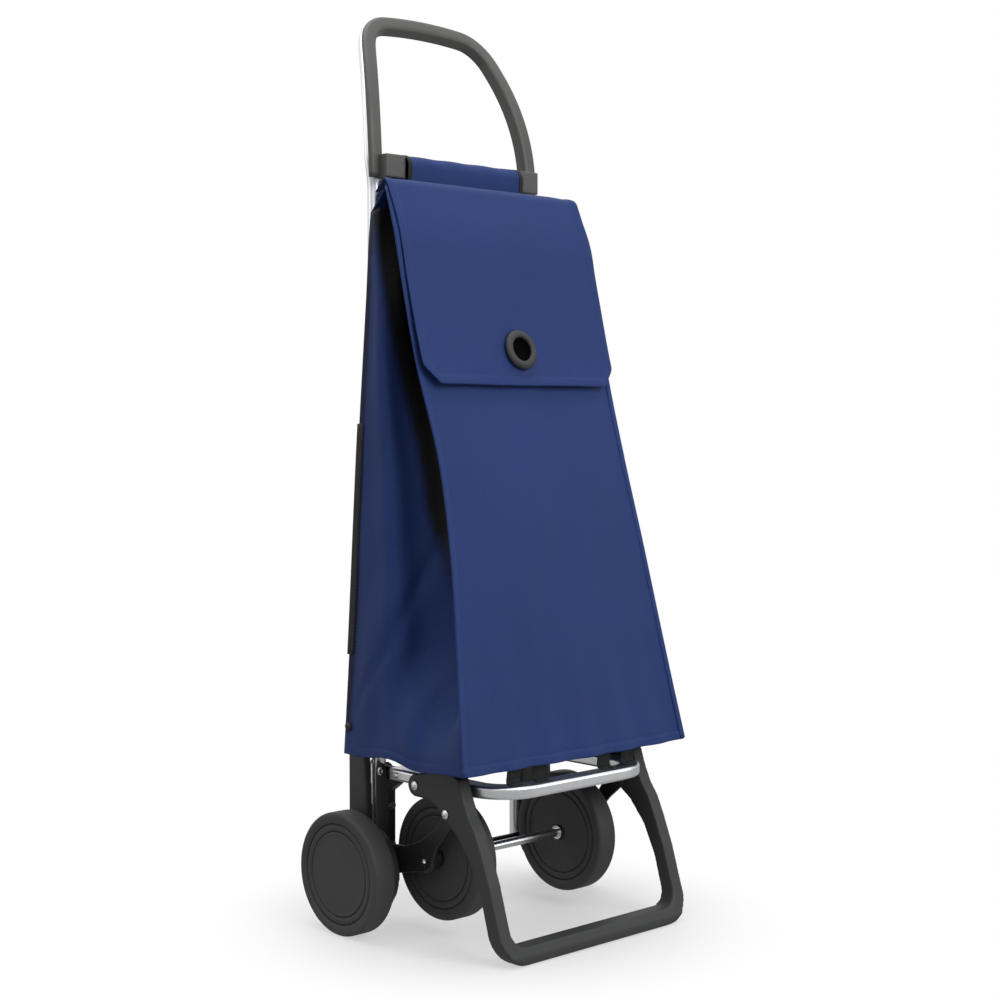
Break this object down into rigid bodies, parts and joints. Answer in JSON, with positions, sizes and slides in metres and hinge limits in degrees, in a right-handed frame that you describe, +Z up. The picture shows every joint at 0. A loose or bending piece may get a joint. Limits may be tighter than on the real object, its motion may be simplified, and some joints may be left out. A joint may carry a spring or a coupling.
{
  "type": "folding_shopping_trolley",
  "caption": "Folding shopping trolley: aluminium frame with bowed handle, tall blue fabric bag with flap, four wheels and a plastic foot loop that folds up.",
  "frame": {"origin": "on the floor, under the middle of the trolley's bounding box", "axes": "+Z up; -Y towards the front, the bag's flap side; +X towards the right rear wheel as seen from the front"},
  "size_m": [0.379, 0.3206, 1.0589],
  "materials": {
    "aluminium": "satin",
    "bright_steel": "satin",
    "black_steel": "satin",
    "black_casting": "satin",
    "black_plastic": "matte",
    "grey_plastic": "matte",
    "grip_plastic": "satin",
    "tyre_rubber": "matte",
    "blue_fabric": "satin",
    "black_fabric": "matte"
  },
  "bodies": {
    "frame": {"handle_tube": "aluminium", "handle_grip": "grip_plastic", "crossbar": "black_steel", "crossbar_blocks": "black_plastic", "bag_sleeve": "blue_fabric", "bag_body": "blue_fabric", "rear_pocket": "black_fabric", "bag_studs": "black_plastic", "post_left": "black_plastic", "post_right": "black_plastic", "rear_strut_left": "grey_plastic", "rear_strut_right": "grey_plastic", "strut_spacers": "black_plastic", "rear_axle": "black_steel", "axle_spacers": "black_plastic", "axle_clips": "bright_steel", "hinge_pins": "bright_steel", "frame_bolts": "bright_steel"},
    "base": {"base_tube": "aluminium", "base_plugs": "black_plastic", "base_straps": "black_fabric", "base_rivets": "bright_steel", "base_board": "black_plastic", "foot_pivots": "bright_steel"},
    "foot": {"foot_loop": "grey_plastic", "foot_bolts": "bright_steel"},
    "front_link": {"side_link_left": "black_casting", "side_link_right": "black_casting", "front_axle": "bright_steel", "axle_bolts": "bright_steel", "axle_bushes": "black_plastic", "axle_collars": "bright_steel", "link_screws": "bright_steel"},
    "flap": {"bag_flap": "blue_fabric", "flap_eyelet": "black_plastic"},
    "front_left_wheel": {"front_left_tyre": "tyre_rubber", "front_left_rim": "grey_plastic", "front_left_covers": "grey_plastic"},
    "front_right_wheel": {"front_right_tyre": "tyre_rubber", "front_right_rim": "grey_plastic", "front_right_covers": "grey_plastic"},
    "rear_left_wheel": {"rear_left_tyre": "tyre_rubber", "rear_left_rim": "grey_plastic", "rear_left_covers": "grey_plastic"},
    "rear_right_wheel": {"rear_right_tyre": "tyre_rubber", "rear_right_rim": "grey_plastic", "rear_right_covers": "grey_plastic"}
  },
  "joints": [
    {"name": "base_fold", "type": "hinge", "parent": "frame", "child": "base", "pos_m": [0, 0.069, 0.1784], "axis": [-1, 0, 0], "range_deg": [0, 60], "deforming": ["bag_body"]},
    {"name": "foot_fold", "type": "hinge", "parent": "base", "child": "foot", "pos_m": [0, -0.02, 0.1784], "axis": [-1, 0, 0], "range_deg": [-85.3, 0]},
    {"name": "link_fold", "type": "hinge", "parent": "frame", "child": "front_link", "pos_m": [0, 0.066, 0.07], "axis": [-1, 0, 0], "range_deg": [0, 30.3]},
    {"name": "flap_hinge", "type": "hinge", "parent": "frame", "child": "flap", "pos_m": [0, 0.052, 0.851], "axis": [-1, 0, 0], "range_deg": [0, 90]},
    {"name": "front_left_spin", "type": "hinge", "parent": "front_link", "child": "front_left_wheel", "pos_m": [-0.0965, -0.015, 0.0895], "axis": [1, 0, 0], "continuous": true},
    {"name": "front_right_spin", "type": "hinge", "parent": "front_link", "child": "front_right_wheel", "pos_m": [0.0965, -0.015, 0.0895], "axis": [1, 0, 0], "continuous": true},
    {"name": "rear_left_spin", "type": "hinge", "parent": "frame", "child": "rear_left_wheel", "pos_m": [-0.1755, 0.066, 0.07], "axis": [1, 0, 0], "continuous": true},
    {"name": "rear_right_spin", "type": "hinge", "parent": "frame", "child": "rear_right_wheel", "pos_m": [0.1755, 0.066, 0.07], "axis": [1, 0, 0], "continuous": true}
  ],
  "couplings": [
    {"joint": "foot_fold", "follows": "base_fold", "ratio": -1.42},
    {"joint": "link_fold", "follows": "base_fold", "ratio": 0.503}
  ]
}
